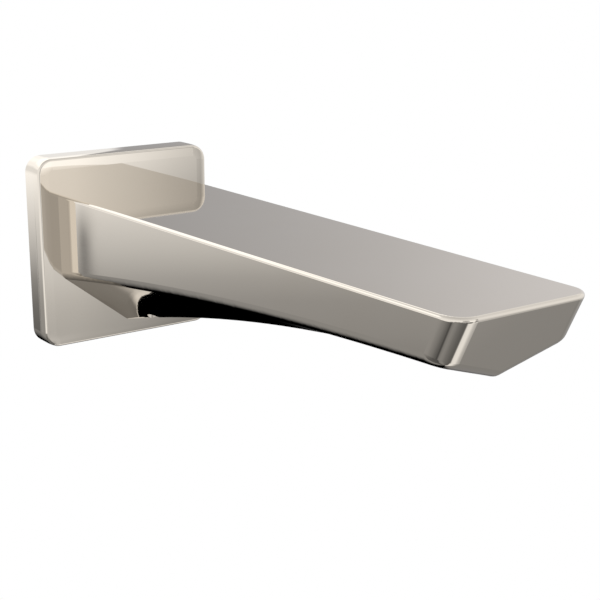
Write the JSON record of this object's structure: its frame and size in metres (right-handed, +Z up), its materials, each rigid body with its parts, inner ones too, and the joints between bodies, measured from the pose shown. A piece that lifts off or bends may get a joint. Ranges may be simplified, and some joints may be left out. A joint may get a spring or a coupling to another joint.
{
  "type": "wall mounted bath spout",
  "caption": "Wall mounted bath spout: flat topped tapering body with a V-shaped underside, leaning tip and recessed outlet, on a rounded square wall plate",
  "frame": {"origin": "centre of the inlet thread's mouth, on the finished wall and at the middle of the wall plate", "axes": "-Y out of the wall along the spout, +Y into the wall, +X to the right of someone facing the wall, +Z up"},
  "size_m": [0.07, 0.2174, 0.07],
  "materials": {
    "polished_nickel": "polished nickel plate over cast brass, mirror finish",
    "bare_brass": "machined brass, unplated",
    "copper": "drawn copper tube, dull",
    "stainless": "stainless steel, plain",
    "black_rubber": "moulded black rubber",
    "grey_foam": "closed-cell foam, matte",
    "white_plastic": "white moulded plastic",
    "grey_plastic": "grey moulded plastic"
  },
  "bodies": {
    "spout": {"spout_body": "polished_nickel", "wall_plate": "polished_nickel", "inlet_hub": "bare_brass", "inlet_adapter": "bare_brass", "outlet_collar": "polished_nickel", "waterway_tube": "copper", "plate_screws": "stainless", "inlet_screen": "stainless", "wall_gasket": "grey_foam", "adapter_rear_o_ring": "black_rubber", "adapter_front_o_ring": "black_rubber", "tube_rear_o_ring": "black_rubber", "tube_front_o_ring": "black_rubber", "pipe_washer": "black_rubber"},
    "set_screw": {"set_screw": "stainless"},
    "aerator": {"aerator_shell": "grey_plastic", "aerator_washer": "black_rubber", "jet_disc": "white_plastic", "aerator_screen": "stainless", "outlet_grid": "white_plastic"}
  },
  "joints": [
    {"name": "set_screw_travel", "type": "slide", "parent": "spout", "child": "set_screw", "axis": [0, 0, -1], "range_m": [0, 0.003]},
    {"name": "aerator_turn", "type": "hinge", "parent": "spout", "child": "aerator", "pos_m": [0, -0.192, 0.005], "axis": [0, 0, 1], "continuous": true}
  ]
}
